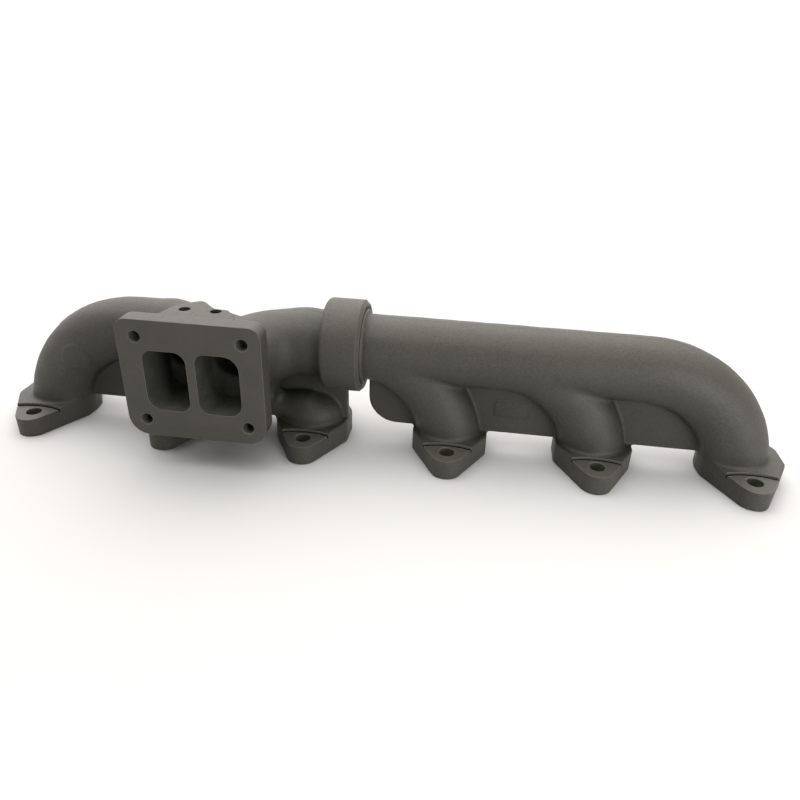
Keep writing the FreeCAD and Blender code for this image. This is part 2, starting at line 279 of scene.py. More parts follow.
def bend_forward(x, z, bend_r, side, r_start, r_end, sink=0.0):
    """A quarter bend from (x, 0, z) along X, towards side, then along -Y, which may sink on its way."""
    widest = max(r_start, r_end)

    def distance(px, py, pz):
        away, on = quarter_turn(side * (px - x), py + bend_r, bend_r)
        return np.sqrt(away ** 2 + (pz - z + sink * on) ** 2) - (r_start + (r_end - r_start) * on)

    ends = sorted((x - side * widest, x + side * (bend_r + widest)))
    return Shape((ends[0], -bend_r - widest, z - sink - widest), (ends[1], widest, z + widest), distance)


def polygon_distance(u, v, outline):
    """Signed distance in a plane to a closed outline of straight edges."""
    points = np.array(outline, float)
    nearest = np.full(np.broadcast(u, v).shape, 1e9)
    sign = np.ones_like(nearest)
    for a, b in zip(points, np.roll(points, 1, axis=0)):
        e = b - a
        wu, wv = u - a[0], v - a[1]
        t = np.clip((wu * e[0] + wv * e[1]) / (e @ e), 0, 1)
        nearest = np.minimum(nearest, (wu - t * e[0]) ** 2 + (wv - t * e[1]) ** 2)
        above, below = v >= a[1], v < b[1]
        left = e[0] * wv > e[1] * wu
        crossing = (above & below & left) | (~above & ~below & ~left)
        sign = np.where(crossing, -sign, sign)
    return sign * np.sqrt(nearest)


def prism(outline, grow, along, low, high, edge):
    """An outline grown by some radius, drawn out along axis 0, 1 or 2, with rounded edges."""
    points = np.array(outline, float)
    repeated = np.abs(points - np.roll(points, 1, axis=0)).max(1) < 1e-6
    points = points[~repeated]
    far_low, far_high = points.min(0) - grow, points.max(0) + grow

    def flat(u, v):
        return polygon_distance(u, v, points) - grow

    return drawn_out(flat, far_low, far_high, along, low, high, edge)


def drum(centre, radius, along, low, high, edge):
    """A round bar along axis 0, 1 or 2, with rounded edges."""
    centre = np.array(centre, float)
    far_low, far_high = centre - radius, centre + radius

    def flat(u, v):
        return np.hypot(u - centre[0], v - centre[1]) - radius

    return drawn_out(flat, far_low, far_high, along, low, high, edge)


def drawn_out(flat_distance, far_low, far_high, along, low, high, edge):
    """A flat shape drawn out along an axis from low to high, with rounded edges."""
    middle, half = (low + high) / 2, (high - low) / 2
    plane = [k for k in range(3) if k != along]

    def distance(x, y, z):
        place = (x, y, z)
        flat = flat_distance(place[plane[0]], place[plane[1]]) + edge
        deep = np.abs(place[along] - middle) - half + edge
        outside = np.hypot(np.maximum(flat, 0), np.maximum(deep, 0))
        return np.minimum(np.maximum(flat, deep), 0) + outside - edge

    corner_low, corner_high = np.zeros(3), np.zeros(3)
    corner_low[plane], corner_high[plane] = far_low, far_high
    corner_low[along], corner_high[along] = low, high
    return Shape(corner_low, corner_high, distance)


def arc(centre, radius, start, turn, steps=8):
    angles = [start + turn * k / steps for k in range(steps + 1)]
    return [(centre[0] + radius * math.cos(a), centre[1] + radius * math.sin(a)) for a in angles]


def rectangle(u_low, u_high, v_low, v_high, corners):
    """A rectangle whose corners, from low u and low v on anticlockwise, have these radii."""
    ends = [(u_low, v_low, 1, 1), (u_high, v_low, -1, 1), (u_high, v_high, -1, -1), (u_low, v_high, 1, -1)]
    outline = []
    for k, ((u, v, s, t), radius) in enumerate(zip(ends, corners)):
        centre = (u + s * radius, v + t * radius)
        outline += arc(centre, radius, math.pi + k * math.pi / 2, math.pi / 2) if radius else [(u, v)]
    return outline


# ---------------------------------------------------------------- cast shapes

def port_flange(number):
    """The lozenge on one port: straight sides, and a round tip at each bolt."""
    reach = FLANGE_TIP_Y - FLANGE_SIDE_HALF
    slope = math.atan2(-reach, FLANGE_HALF_WIDTH)
    tangent = slope + math.acos(FLANGE_TIP_R / math.hypot(FLANGE_HALF_WIDTH, reach))
    grow = FLANGE_CORNER_R
    level = FLANGE_HALF_WIDTH * math.cos(tangent) + FLANGE_SIDE_HALF * math.sin(tangent) - grow
    side = FLANGE_HALF_WIDTH - grow
    corner = (side, (level - side * math.cos(tangent)) / math.sin(tangent))
    tip = arc((0, FLANGE_TIP_Y), FLANGE_TIP_R - grow, tangent, math.pi - 2 * tangent)
    half = [corner] + tip + [(-corner[0], corner[1])]
    outline = half + [(-x, -y) for x, y in half]
    outline = [(x + PORT_X[number], y) for x, y in outline]
    return prism(outline, grow, 2, -MACHINING, FLANGE_TOP, 1.0)


def end_runner(side, r_start, r_end):
    """The runner of port 1 (side -1) or 6 (side 1): a stub, then a bend into the main tube."""
    x = side * (END_BEND_X + END_BEND_R)
    stub = rod((x, 0, BELOW), (x, 0, TUBE_Z - END_BEND_R), r_start)
    return stub | bend_up(x, TUBE_Z - END_BEND_R, END_BEND_R, -side, r_start, r_end)


def web(left, right, corner_r=0.0, dip=()):
    """The flat web in the middle plane, from below up into the main tube; its top edge may dip."""
    outline = rectangle(left, right, WEB_BOTTOM, TUBE_Z, (corner_r, 0, 0, 0))
    outline[-1:-1] = dip
    return prism(outline, 0, 1, -WEB_HALF, WEB_HALF, 1.5)


def opening_middle(side):
    return TURBO_X + side * (DIVIDER + OPENING_WIDTH) / 2


def opening(side, front, wall=0.0):
    """The passage behind one half of the divided opening, or the iron round it."""
    middle = opening_middle(side)
    outline = rectangle(
        middle - OPENING_WIDTH / 2, middle + OPENING_WIDTH / 2,
        OPENING_Z - OPENING_HALF_HEIGHT, OPENING_Z + OPENING_HALF_HEIGHT, OPENING_CORNERS[side],
    )
    return prism(outline, wall, 1, front, CHAMBER_BACK_Y[side] + wall, wall or 1.0)


def turbo_flange():
    outline = rectangle(
        TURBO_X - TURBO_HALF_WIDTH, TURBO_X + TURBO_HALF_WIDTH,
        TURBO_Z - TURBO_HALF_HEIGHT, TURBO_TOP - 0.05, TURBO_CORNERS,
    )
    return prism(outline, 0, 1, TURBO_FACE_Y - MACHINING, TURBO_BACK_Y, 1.2)


def low_passage(wall=0.0):
    """The flat passage from port 3 to port 2's runner, or the iron round it."""
    (front, back), (bottom, top) = LOW_Y, LOW_Z
    outline = rectangle(front - wall, back + wall, bottom - wall, top + wall, [LOW_CORNER_R + wall] * 4)
    return prism(outline, 0, 0, PORT_X[2], PORT_X[3], 1.0)


def domed_post(radius, top, round_r):
    """Port 3's upright runner, or its bore, with a rounded top."""
    return drum((PORT_X[3], 0), radius, 2, BELOW, top, round_r)


def probe_pad():
    """A flat pad level with the flange's top side, and a lower part beside it, narrowing away from it."""
    high = [
        (-28.0, -60.0), (-24.5, -45.0), (-21.0, -38.0), (-14.0, -32.0), (-7.0, -27.0), (-2.7, -28.5),
        (2.0, -33.5), (7.0, -39.0), (10.5, -41.5), (20.5, -42.0), (27.0, -51.0), (31.0, -58.0), (31.0, -60.0),
    ]
    low = [(10.0, -43.0), (21.0, -42.6), (29.0, -46.3), (36.0, -50.1), (44.0, -60.0), (10.0, -60.0)]
    parts = [prism([(TURBO_X + x, y) for x, y in outline], 0, 2, 98.0, top, 0.8)
             for outline, top in ((high, TURBO_TOP - 0.05), (low, TURBO_TOP - 1.3))]
    return parts[0] | parts[1]


def raised_pad(field, place, outwards, radius, height):
    """Raises a round patch of wall a little, where a foundry would set a badge."""
    outwards = np.array(outwards, float) / np.linalg.norm(outwards)
    x, y, z = [axis.reshape([-1 if k == j else 1 for j in range(3)]) for k, axis in enumerate(field.axes)]
    x, y, z = x - place[0], y - place[1], z - place[2]
    level = x * outwards[0] + y * outwards[1] + z * outwards[2]
    away = np.sqrt(np.maximum(x ** 2 + y ** 2 + z ** 2 - level ** 2, 0))
    share = np.clip((radius - away) / 1.2 + 0.5, 0, 1) * (np.abs(level) < radius)
    field.values -= (height * share * share * (3 - 2 * share)).astype(np.float32)


def parting_line(field, height=0.5, width=0.9, spacing=2.5):
    """The thin raised seam, broken here and there, that the mould leaves in the middle plane."""
    x, y = field.axes[0], field.axes[1]
    knots = np.arange(x[0], x[-1] + spacing, spacing)
    worn = np.random.default_rng(5).uniform(0.25, 1.0, len(knots))
    ridge = height * np.interp(x, knots, worn)[:, None, None] * np.exp(-((y / width) ** 2))[None, :, None]
    field.values -= ridge.astype(np.float32)


def unevenness(field, height=0.12, waves=7):
    """The slight waviness of a sand-cast wall."""
    draw = np.random.default_rng(11)
    x, y, z = [axis.reshape([-1 if k == j else 1 for j in range(3)]) for k, axis in enumerate(field.axes)]
    for _ in range(waves):
        way = draw.normal(size=3)
        way *= 2 * math.pi / draw.uniform(14, 34) / np.linalg.norm(way)
        wave = np.sin(x * way[0] + y * way[1] + z * way[2] + draw.uniform(0, 6.28))
        field.values += (height / math.sqrt(waves) * wave).astype(np.float32)


def cast_front():
    iron = Field((-345, -85, BELOW), (-2, 62, 135))
    gas = Field((-345, -85, BELOW), (-2, 62, 135))
    front_x = opening_middle(-1) - FRONT_BEND_R
    cross_x = opening_middle(1) + CROSSOVER_BEND_R
    iron.add(end_runner(-1, FOOT_R, RUNNER_R))
    iron.add(rod((-END_BEND_X, 0, TUBE_Z), (front_x, 0, TUBE_Z), RUNNER_R))
    iron.add(bend_forward(front_x, TUBE_Z, FRONT_BEND_R, 1, RUNNER_R, RUNNER_R))
    iron.add(rod((PORT_X[2], 0, BELOW), (PORT_X[2], 0, TUBE_Z), RUNNER_R), 4)
    iron.add(rod((COLLAR_LEFT + 6, 0, TUBE_Z), (cross_x, 0, TUBE_Z), TUBE_R), 5)
    iron.add(bend_forward(cross_x, TUBE_Z, CROSSOVER_BEND_R, -1, TUBE_R, CROSSOVER_END_R, CROSSOVER_SINK), 5)
    iron.add(opening(-1, TURBO_BACK_Y - 2, CHAMBER_WALL), 5)
    iron.add(opening(1, TURBO_BACK_Y - 2, CHAMBER_WALL), 8)
    iron.add(domed_post(RUNNER_R, ELBOW_TOP, ELBOW_ROUND), 3)
    iron.add(low_passage(LOW_WALL), 9)
    iron.add(prism(rectangle(*SADDLE_X, *SADDLE_Z, [6.0] * 4), 0, 1, *SADDLE_Y, 5), 9)
    parting_line(iron)
    unevenness(iron)
    raised_pad(iron, BADGE_PLACE, BADGE_FACES, BADGE_R, BADGE_HEIGHT)
    for number in FRONT_PORTS:
        iron.add(port_flange(number), 3)
    iron.add(turbo_flange() | probe_pad(), 3)
    iron.add(web(-WEB_END, FRONT_WEB_RIGHT, dip=FRONT_WEB_DIP), 2.5)
    iron.add(drum((0, TUBE_Z), COLLAR_R, 0, COLLAR_LEFT, COLLAR_RIGHT + MACHINING, 4), 3)

    gas.add(end_runner(-1, RUNNER_BORE_R, RUNNER_BORE_R))
    gas.add(rod((-END_BEND_X, 0, TUBE_Z), (front_x, 0, TUBE_Z), RUNNER_BORE_R))
    gas.add(bend_forward(front_x, TUBE_Z, FRONT_BEND_R, 1, RUNNER_BORE_R, RUNNER_BORE_R))
    gas.add(rod((PORT_X[2], 0, BELOW - 2), (PORT_X[2], 0, TUBE_Z), RUNNER_BORE_R), 6)
    gas.add(domed_post(RUNNER_BORE_R, ELBOW_TOP - LOW_WALL, ELBOW_BORE_ROUND))
    gas.add(low_passage(), 4)
    first_r, middle_r, last_r = CROSSOVER_BORE
    gas.add(rod((COLLAR_BORE_END + 6, 0, TUBE_Z), (cross_x, 0, TUBE_Z), first_r, middle_r))
    gas.add(bend_forward(cross_x, TUBE_Z, CROSSOVER_BEND_R, -1, middle_r, last_r), 2)
    for side in (-1, 1):
        gas.add(opening(side, TURBO_FACE_Y - 8), 5)
    iron.hollow(gas)
    return iron, gas


def cast_rear():
    iron = Field((-26, -62, BELOW), (345, 62, 122))
    gas = Field((-26, -62, BELOW), (345, 62, 122))
    iron.add(end_runner(1, FOOT_R, TUBE_R - 0.5))
    iron.add(rod((SHOULDER_X - 2, 0, TUBE_Z), (END_BEND_X, 0, TUBE_Z), TUBE_R, TUBE_R - 0.5))
    for number in (4, 5):
        runner = rod((PORT_X[number], 0, BELOW), (PORT_X[number], 0, 0), FOOT_R)
        iron.add(runner | bend_up(PORT_X[number], 0, TUBE_Z, -1, FOOT_R, 24.0), 3)
    parting_line(iron)
    unevenness(iron)
    for number in REAR_PORTS:
        iron.add(port_flange(number), 3)
    iron.add(web(REAR_WEB_LEFT, WEB_END, WEB_CORNER_R), 2.5)
    plate = rectangle(*PLATE_X, *PLATE_Z, [1.5] * 4)
    iron.add(prism(plate, 0, 1, -WEB_HALF - PLATE_HEIGHT, 0, PLATE_HEIGHT / 2))

    gas.add(end_runner(1, RUNNER_BORE_R, TUBE_BORE_R))
    gas.add(rod((SPIGOT_LEFT - 8, 0, TUBE_Z), (END_BEND_X, 0, TUBE_Z), TUBE_BORE_R))
    for number in (4, 5):
        gas.add(rod((PORT_X[number], 0, BELOW - 2), (PORT_X[number], 0, 0), RUNNER_BORE_R))
        gas.add(bend_up(PORT_X[number], 0, TUBE_Z, -1, RUNNER_BORE_R, 18.5), 4)
    iron.hollow(gas)
    return iron, gas


# ---------------------------------------------------------------- meshes and machining

def new_object(name, data):
    piece = bpy.data.objects.new(name, data)
    bpy.context.scene.collection.objects.link(piece)
    return piece


def object_from_fields(name, iron, gas, materials):
    """The iron's surface, with the walls that the gas touches in a material slot of their own."""
    points, triangles, quads = iron.mesh_data()
    mesh = bpy.data.meshes.new(name)
    mesh.from_pydata(points.tolist(), [], triangles.tolist() + quads.tolist())
    mesh.validate()
    for material in materials:
        mesh.materials.append(material)
    centres = np.zeros(len(mesh.polygons) * 3)
    mesh.polygons.foreach_get("center", centres)
    slots = np.where(gas.at(centres.reshape(-1, 3) / MM) < VOXEL / 2, GAS_SKIN_AND_HOLE_SHADE, CAST)
    mesh.polygons.foreach_set("material_index", slots.astype(np.int32))
    return new_object(name, mesh)


def apply_modifiers(piece):
    graph = bpy.context.evaluated_depsgraph_get()
    mesh = bpy.data.meshes.new_from_object(piece.evaluated_get(graph))
    piece.modifiers.clear()
    old, piece.data = piece.data, mesh
    mesh.name = piece.name
    bpy.data.meshes.remove(old)


def thin_out(piece, faces):
    """Spends faces where the surface curves, and saves them where it is flat."""
    piece.data.calc_loop_triangles()
    have = len(piece.data.loop_triangles)
    if have > faces:
        thin = piece.modifiers.new("thin", "DECIMATE")
        thin.ratio = faces / have
        apply_modifiers(piece)


class Cutters:
    """Blocks and solids of revolution, gathered in one mesh that cuts or joins a casting."""

    def __init__(self):
        self.points, self.faces = [], []

    def block(self, low, high):
        first = len(self.points)
        for x in (low[0], high[0]):
            for y in (low[1], high[1]):
                self.points += [(x * MM, y * MM, low[2] * MM), (x * MM, y * MM, high[2] * MM)]
        corners = ((0, 1, 3, 2), (4, 6, 7, 5), (0, 4, 5, 1), (2, 3, 7, 6), (0, 2, 6, 4), (1, 5, 7, 3))
        self.faces += [tuple(first + k for k in face) for face in corners]

    def turned(self, profile, origin, axis, steps=64):
        """A profile of (along, radius) turned round an axis; it is closed or ends on the axis."""
        origin, axis = Vector(origin), Vector(axis)
        side = Vector((0, 0, 1)) if abs(axis.z) < 0.5 else Vector((1, 0, 0))
        up = axis.cross(side)
        closed = profile[0] == profile[-1]
        rows = []
        for along, radius in profile[:-1] if closed else profile:
            centre = origin + axis * along
            first = len(self.points)
            if radius == 0:
                rows.append([first] * steps)
                self.points.append(tuple(centre * MM))
                continue
            rows.append([first + k for k in range(steps)])
            for k in range(steps):
                turn = 2 * math.pi * k / steps
                out = side * math.cos(turn) + up * math.sin(turn)
                self.points.append(tuple((centre + out * radius) * MM))
        following = rows[1:] + rows[:1] if closed else rows[1:]
        for low, high in zip(rows, following):
            for k in range(steps):
                n = (k + 1) % steps
                face = tuple(dict.fromkeys((low[k], low[n], high[n], high[k])))
                if len(face) > 2:
                    self.faces.append(face)

    def apply(self, piece, operation, slot=MACHINED):
        """Cuts these solids from a casting, or joins them to it, in one material slot."""
        mesh = bpy.data.meshes.new(operation)
        mesh.from_pydata(self.points, [], self.faces)
        for material in piece.data.materials:
            mesh.materials.append(material)
        work = bmesh.new()
        work.from_mesh(mesh)
        bmesh.ops.recalc_face_normals(work, faces=work.faces)
        for face in work.faces:
            face.material_index = slot
        work.to_mesh(mesh)
        work.free()
        tool = new_object(operation, mesh)
        change = piece.modifiers.new(operation, "BOOLEAN")
        change.operation = operation
        change.solver = "MANIFOLD"
        change.object = tool
        apply_modifiers(piece)
        bpy.data.objects.remove(tool)


def drill(piece, places, axis, radius, depth, chamfer, threads=0):
    """Holes of some depth, tapped or plain, their walls painted dark as shade, each with a bright chamfer
    round its mouth in machined iron, whose edges carry a painted highlight.
    """
    profile = [(-2.0, 0), (-2.0, radius)]
    for k in range(threads):
        start = chamfer + THREAD_PITCH * (k + 0.2)
        profile += [(start, radius), (start + THREAD_PITCH * 0.4, radius + THREAD_DEPTH)]
        profile += [(start + THREAD_PITCH * 0.5, radius + THREAD_DEPTH)]
        profile += [(start + THREAD_PITCH * 0.9, radius)]
    profile += [(depth, radius), (depth, 0)]
    cone = [(-2.0, 0), (-2.0, radius + chamfer + 2.0), (chamfer, radius), (chamfer, 0)]
    holes, mouths = Cutters(), Cutters()
    for place in places:
        holes.turned(profile, place, axis, 48)
        mouths.turned(cone, place, axis, 48)
    # Painted shade: the hole walls take the dark passage tone.
    holes.apply(piece, "DIFFERENCE", GAS_SKIN_AND_HOLE_SHADE)
    mouths.apply(piece, "DIFFERENCE")


def cut_flanges(piece, numbers):
    """Gasket faces, then the milled steps and their grooves, painted near-black as shade, then the bolt
    holes.
    """
    faces = Cutters()
    faces.block((-400, -100, -50), (400, 100, 0))
    faces.apply(piece, "DIFFERENCE")
    steps, grooves = Cutters(), Cutters()
    above = 9.0
    places = [(PORT_X[number], side * BOLT_Y, STEP_Z) for number in numbers for side in (-1, 1)]
    for x, y, z in places:
        centre = (x, math.copysign(STEP_EDGE_Y + STEP_R, y), z)
        steps.turned([(0, 0), (0, STEP_R), (above, STEP_R + 0.6), (above, 0)], centre, (0, 0, 1), 240)
        inner = STEP_R - STEP_GROOVE
        ring = [(-STEP_GROOVE_DEPTH, inner), (-STEP_GROOVE_DEPTH, STEP_R), (1.0, STEP_R), (1.0, inner)]
        grooves.turned(ring + ring[:1], centre, (0, 0, 1), 240)
    steps.apply(piece, "DIFFERENCE")
    # Painted shade: the groove walls take a near-black tone.
    grooves.apply(piece, "DIFFERENCE", GROOVE_PAINTED_SHADE)
    drill(piece, places, (0, 0, -1), BOLT_HOLE_R, 30, 0.5)


def machine_front(piece):
    cut_flanges(piece, FRONT_PORTS)
    faces = Cutters()
    faces.block((-400, -120, -50), (400, TURBO_FACE_Y, 200))
    faces.apply(piece, "DIFFERENCE")
    collar = Cutters()
    outside, end = COLLAR_R + 10, 20.0
    profile = [
        (COLLAR_BORE_END, 0), (COLLAR_BORE_END, COLLAR_BORE_R),
        (COLLAR_RIGHT - COLLAR_CHAMFER, COLLAR_BORE_R), (COLLAR_RIGHT, COLLAR_BORE_R + COLLAR_CHAMFER),
        (COLLAR_RIGHT, COLLAR_R - COLLAR_CHAMFER), (COLLAR_RIGHT - COLLAR_CHAMFER, COLLAR_R),
        (COLLAR_RIGHT - COLLAR_CHAMFER, outside), (end, outside), (end, 0),
    ]
    collar.turned(profile, (0, 0, TUBE_Z), (1, 0, 0), 128)
    collar.apply(piece, "DIFFERENCE")
    drill(piece, [(x, TURBO_FACE_Y, z) for x, z in TURBO_HOLES], (0, 1, 0), TURBO_HOLE_R, 24, 0.8, 10)
    probes = ("probe_hole_left", "probe_hole_right")
    probe_r = mount(probes[0])["dims"]["r_mm"]
    drill(piece, [mount_place(name) for name in probes], (0, 0, -1), probe_r, 40, 0.6, 10)


def machine_rear(piece):
    cut_flanges(piece, REAR_PORTS)
    inner = TUBE_BORE_R - 0.4
    profile = [
        (SPIGOT_LEFT, inner), (SPIGOT_LEFT, SPIGOT_R - SPIGOT_CHAMFER),
        (SPIGOT_LEFT + SPIGOT_CHAMFER, SPIGOT_R),
    ]
    for node in RING_NODES:
        low, high = node_range(node, 0)
        low, high = low - RING_PLAY, high + RING_PLAY
        profile += [(low, SPIGOT_R), (low, GROOVE_BOTTOM_R), (high, GROOVE_BOTTOM_R), (high, SPIGOT_R)]
    profile += [
        (SHOULDER_X - SPIGOT_CHAMFER, SPIGOT_R), (SHOULDER_X, SPIGOT_R - SPIGOT_CHAMFER),
        (SHOULDER_X, inner), (SPIGOT_LEFT, inner),
    ]
    spigot = Cutters()
    spigot.turned(profile, (0, 0, TUBE_Z), (1, 0, 0), 128)
    spigot.apply(piece, "UNION")


def finish_mesh(piece):
    piece.data.shade_smooth()
    piece.data.set_sharp_from_angle(angle=math.radians(32))


# ---------------------------------------------------------------- materials

class Look:
    """A Principled material and the node chains that its colour, roughness and bump come from."""

    def __init__(self, name, metallic, specular):
        self.material = bpy.data.materials.new(name)
        self.material.use_nodes = True
        self.nodes = self.material.node_tree.nodes
        self.shader = self.nodes["Principled BSDF"]
        self.shader.inputs["Metallic"].default_value = metallic
        self.shader.inputs["Specular IOR Level"].default_value = specular
        self.place = self.node("ShaderNodeTexCoord").outputs["Object"]

    def node(self, kind, **values):
        made = self.nodes.new(kind)
        for name, value in values.items():
            made.inputs[name.replace("_", " ")].default_value = value
        return made

    def link(self, output, target):
        self.material.node_tree.links.new(output, target)

    def noise(self, scale, detail, roughness=0.6):
        made = self.node("ShaderNodeTexNoise", Scale=scale, Detail=detail, Roughness=roughness)
        self.link(self.place, made.inputs["Vector"])
        return made.outputs["Fac"]

    def spread(self, value, low, high, to_low, to_high):
        """Maps low..high to to_low..to_high, and holds it there beyond."""
        made = self.node("ShaderNodeMapRange", From_Min=low, From_Max=high, To_Min=to_low, To_Max=to_high)
        self.link(value, made.inputs["Value"])
        return made.outputs["Result"]

    def mix(self, amount, first, second):
        """Mixes two colours, each an output or a constant, by an output or a constant."""
        made = self.nodes.new("ShaderNodeMix")
        made.data_type = "RGBA"
        for value, target in ((amount, made.inputs[0]), (first, made.inputs[6]), (second, made.inputs[7])):
            if isinstance(value, bpy.types.NodeSocket):
                self.link(value, target)
            elif isinstance(value, tuple):
                target.default_value = (*value, 1)
            else:
                target.default_value = value
        return made.outputs[2]

    def edges(self, radius):
        """The normal rounded over sharp edges, and how near an edge is, from 0 to 1."""
        bevel = self.nodes.new("ShaderNodeBevel")
        bevel.samples = 4
        bevel.inputs["Radius"].default_value = radius * MM
        here = self.nodes.new("ShaderNodeNewGeometry")
        along = self.nodes.new("ShaderNodeVectorMath")
        along.operation = "DOT_PRODUCT"
        self.link(bevel.outputs["Normal"], along.inputs[0])
        self.link(here.outputs["Normal"], along.inputs[1])
        return bevel.outputs["Normal"], self.spread(along.outputs["Value"], 0.8, 0.995, 1.0, 0.0)

    def recess(self, reach):
        """How open the surroundings are, from 0 deep in a corner to 1 on an open face; it drives the cast
        iron's painted shade.
        """
        made = self.nodes.new("ShaderNodeAmbientOcclusion")
        made.samples = 6
        made.only_local = True
        made.inputs["Distance"].default_value = reach * MM
        return made.outputs["AO"]

    def bump(self, height, strength, depth, normal=None):
        made = self.node("ShaderNodeBump", Strength=strength, Distance=depth * MM)
        self.link(height, made.inputs["Height"])
        if normal:
            self.link(normal, made.inputs["Normal"])
        return made.outputs["Normal"]

    def finish(self, colour, roughness, normal):
        self.link(colour, self.shader.inputs["Base Color"])
        self.link(roughness, self.shader.inputs["Roughness"])
        self.link(normal, self.shader.inputs["Normal"])
        return self.material


def cast_iron():
    """Grey-olive iron, blasted to a fine matt grain, with painted shade in its recesses, and lighter along
    its edges, partly chipped wear and partly painted highlight.
    """
    look = Look("blasted_cast_iron", 0.0, 0.27)
    rounded, near_edge = look.edges(0.9)
    patches, grain, pits = look.noise(26, 4), look.noise(850, 4, 0.75), look.noise(380, 3)
    dark, light = (0.035, 0.034, 0.0275), (0.0435, 0.0415, 0.0345)
    colour = look.mix(look.spread(patches, 0.35, 0.68, 0.0, 1.0), dark, light)
    colour = look.mix(look.spread(grain, 0.38, 0.66, 0.0, 0.5), colour, (0.077, 0.073, 0.062))
    colour = look.mix(look.spread(pits, 0.28, 0.42, 0.22, 0.0), colour, (0.02, 0.021, 0.016))
    # Painted shade: the casting's own AO darkens the colour to near-black in creases, recesses and under its
    # tubes.
    colour = look.mix(look.spread(look.recess(110), 0.15, 0.92, 0.82, 0.0), colour, (0.012, 0.0138, 0.0092))
    # Painted highlight and wear: edges are lightened everywhere as a painted highlight, and more where the
    # chip noise marks chipped wear.
    chips = look.spread(look.noise(900, 2), 0.5, 0.62, 0.25, 1.0)
    worn = look.mix(chips, colour, (0.2, 0.19, 0.17))
    colour = look.mix(look.spread(near_edge, 0.0, 1.0, 0.0, 0.6), colour, worn)
    roughness = look.spread(grain, 0.3, 0.7, 0.6, 0.44)
    fine = look.bump(grain, 0.7, 0.3, rounded)
    return look.finish(colour, roughness, look.bump(pits, 0.45, 0.35, fine))


def machined_iron():
    """The same blast over milled and bored faces, which leaves them finer and smoother, with a painted
    highlight along their edges.
    """
    look = Look("machined_iron", 0.0, 0.2)
    rounded, near_edge = look.edges(0.8)
    patches, grain = look.noise(60, 4), look.noise(2000, 3, 0.7)
    dark, light = (0.049, 0.0471, 0.039), (0.057, 0.0543, 0.0452)
    colour = look.mix(look.spread(patches, 0.35, 0.65, 0.0, 1.0), dark, light)
    colour = look.mix(look.spread(grain, 0.4, 0.62, 0.0, 0.3), colour, (0.072, 0.068, 0.058))
    # Painted highlight: the colour lightens along sharp edges.
    colour = look.mix(look.spread(near_edge, 0.0, 1.0, 0.0, 0.8), colour, (0.24, 0.23, 0.205))
    roughness = look.spread(grain, 0.3, 0.7, 0.56, 0.42)
    return look.finish(colour, roughness, look.bump(grain, 0.3, 0.08, rounded))


def dark_skin_and_painted_shade(name, share):
    """The rough dark skin inside passages, at a share of its full tone; the same tone is painted into drilled
    holes as shade, and at a small share into the step grooves as painted shade.
    """
    look = Look(name, 0.0, 0.2 * share)
    patches, grain = look.noise(90, 5), look.noise(700, 5, 0.75)

    def tone(*colour):
        return tuple(share * value for value in colour)

    dark, light = tone(0.036, 0.039, 0.029), tone(0.058, 0.061, 0.047)
    colour = look.mix(look.spread(patches, 0.35, 0.68, 0.0, 1.0), dark, light)
    colour = look.mix(look.spread(grain, 0.4, 0.7, 0.0, 0.5), colour, tone(0.08, 0.081, 0.065))
    roughness = look.spread(grain, 0.3, 0.7, 0.85, 0.65)
    return look.finish(colour, roughness, look.bump(grain, 0.6, 0.4))


def ring_iron():
    """Dark ring iron with the fine grooves of turning round it, and a painted highlight along its edges."""
    look = Look("turned_ring_iron", 0.7, 0.5)
    rounded, near_edge = look.edges(0.15)
    turning = look.node("ShaderNodeTexWave", Scale=900.0, Distortion=1.2, Detail=2.0)
    look.link(look.place, turning.inputs["Vector"])
    lines, stains = turning.outputs["Fac"], look.noise(180, 4)
    colour = look.mix(look.spread(stains, 0.35, 0.7, 0.0, 1.0), (0.1, 0.096, 0.088), (0.19, 0.182, 0.17))
    # Painted highlight: the colour lightens along sharp edges.
    colour = look.mix(look.spread(near_edge, 0.0, 1.0, 0.0, 0.5), colour, (0.34, 0.33, 0.32))
    roughness = look.spread(stains, 0.3, 0.7, 0.34, 0.5)
    return look.finish(colour, roughness, look.bump(lines, 0.25, 0.03, rounded))


# ---------------------------------------------------------------- stage, light and camera

FLOOR_LEVEL = -0.0005
FLOOR_TONE = 0.42
MAIN_LIGHT_FROM = (-0.15, 0.38, 0.9)
MAIN_LIGHT = 3.95
LIGHT_COLOUR = (1.0, 0.975, 0.95, 1)
ROOM_LIGHT = ((0.0, 1.2), (0.1, 1.2), (0.2, 0.14), (0.5, 0.15), (1.0, 0.6))
CAMERA_PLACE = (0.0789, -0.5166, 0.3139)
CAMERA_TURNS = (-7.01, 27.9, -1.92)  # heading, tilt and roll, in degrees
CAMERA_LENS = 30.94


def stage():
    bpy.ops.mesh.primitive_plane_add(size=60, location=(0, 0, FLOOR_LEVEL))
    floor = bpy.context.object
    floor.name = "floor"
    material = bpy.data.materials.new("pale_floor")
    material.use_nodes = True
    shader = material.node_tree.nodes["Principled BSDF"]
    shader.inputs["Base Color"].default_value = (FLOOR_TONE, FLOOR_TONE, FLOOR_TONE, 1)
    shader.inputs["Roughness"].default_value = 0.95
    shader.inputs["Specular IOR Level"].default_value = 0.1
    floor.data.materials.append(material)


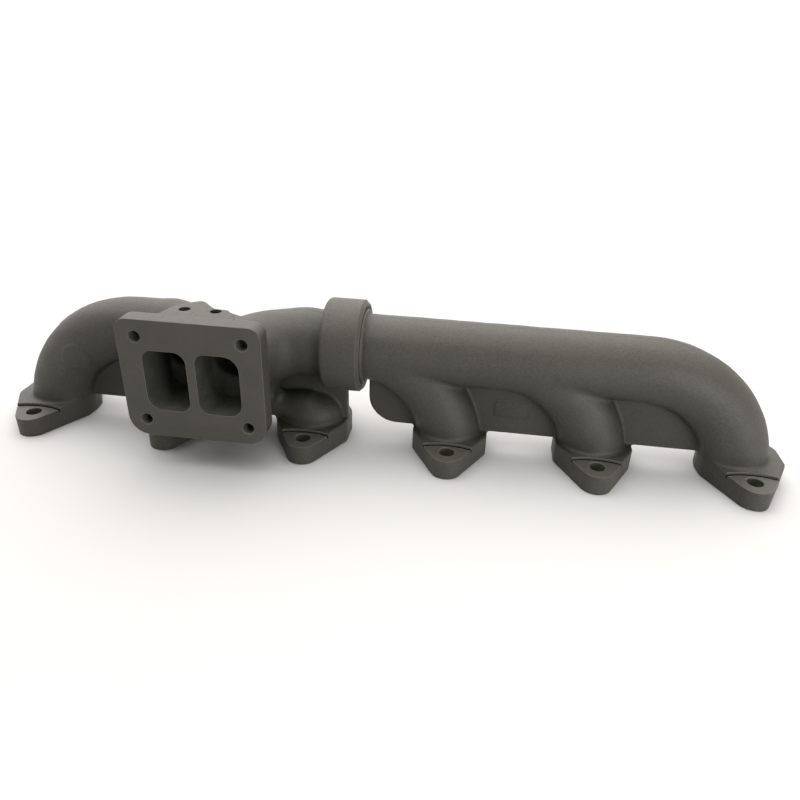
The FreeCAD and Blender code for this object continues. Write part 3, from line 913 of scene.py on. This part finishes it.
def studio_light():
    """A broad soft light above and slightly behind, a dim room, and a pale band along the horizon."""
    world = bpy.data.worlds.new("studio")
    world.use_nodes = True
    nodes, links = world.node_tree.nodes, world.node_tree.links
    place = nodes.new("ShaderNodeTexCoord").outputs["Generated"]

    toward = nodes.new("ShaderNodeVectorMath")
    toward.operation = "DOT_PRODUCT"
    links.new(place, toward.inputs[0])
    toward.inputs[1].default_value = Vector(MAIN_LIGHT_FROM).normalized()
    glow = nodes.new("ShaderNodeMapRange")
    glow.interpolation_type = "SMOOTHSTEP"
    for name, value in (("From Min", 0.3), ("From Max", 1.0), ("To Min", 0.0), ("To Max", MAIN_LIGHT)):
        glow.inputs[name].default_value = value
    links.new(toward.outputs["Value"], glow.inputs["Value"])

    parts = nodes.new("ShaderNodeSeparateXYZ")
    room = nodes.new("ShaderNodeValToRGB")
    elements = room.color_ramp.elements
    for height, level in ROOM_LIGHT:
        elements.new(height).color = (level, level, level, 1)
    elements.remove(elements[0])
    elements.remove(elements[-1])
    links.new(place, parts.inputs["Vector"])
    links.new(parts.outputs["Z"], room.inputs["Fac"])

    both = nodes.new("ShaderNodeMath")
    both.operation = "ADD"
    links.new(glow.outputs["Result"], both.inputs[0])
    links.new(room.outputs["Color"], both.inputs[1])
    links.new(both.outputs["Value"], nodes["Background"].inputs["Strength"])
    nodes["Background"].inputs["Color"].default_value = LIGHT_COLOUR
    bpy.context.scene.world = world


def area_light(name, place, target, size, power, beam):
    data = bpy.data.lights.new(name, "AREA")
    data.size = size
    data.energy = power
    data.spread = math.radians(beam)
    lamp = new_object(name, data)
    lamp.location = place
    lamp.rotation_euler = (Vector(target) - Vector(place)).to_track_quat("-Z", "Y").to_euler()


def camera():
    """A close view from slightly right of the middle, looking left and down."""
    data = bpy.data.cameras.new("camera")
    data.lens = CAMERA_LENS
    data.sensor_width = 36
    data.clip_start = 0.01
    eye = new_object("camera", data)
    heading, tilt, roll = (math.radians(angle) for angle in CAMERA_TURNS)
    turn = Matrix.Rotation(-heading, 4, "Z") @ Matrix.Rotation(math.pi / 2 - tilt, 4, "X")
    turn = turn @ Matrix.Rotation(-roll, 4, "Z")
    eye.matrix_world = Matrix.Translation(CAMERA_PLACE) @ turn
    bpy.context.scene.camera = eye


# ---------------------------------------------------------------- build

def casting(name, fields, machine, node, body, materials):
    piece = object_from_fields(name, *fields, materials)
    thin_out(piece, CASTING_FACES)
    machine(piece)
    finish_mesh(piece)
    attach(piece, body)
    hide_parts(node)


def rings():
    """The three CAD rings stay, with a turned finish."""
    finish = ring_iron()
    for node in RING_NODES:
        mesh = frame["nodes"][node].data
        mesh.materials.clear()
        mesh.materials.append(finish)


def build():
    # Dark tones: the passages' skin, which the drilled holes also take as painted shade, and the near-black
    # painted shade of the step grooves.
    dark_skin_and_shade_looks = [dark_skin_and_painted_shade("gas_side_iron", 1.0), dark_skin_and_painted_shade("groove_scale", 0.15)]
    irons = [cast_iron(), machined_iron()] + dark_skin_and_shade_looks
    casting("front_body", cast_front(), machine_front, "front_casting", "front_section", irons)
    casting("rear_body", cast_rear(), machine_rear, "rear_casting", "rear_section", irons)
    rings()


bpy.context.scene.view_settings.view_transform = "Standard"
stage()
studio_light()
area_light("right_fill", (0.78, -0.68, 0.13), (0.3, -0.05, 0.0), 0.55, 1.5, 70)
camera()
build()
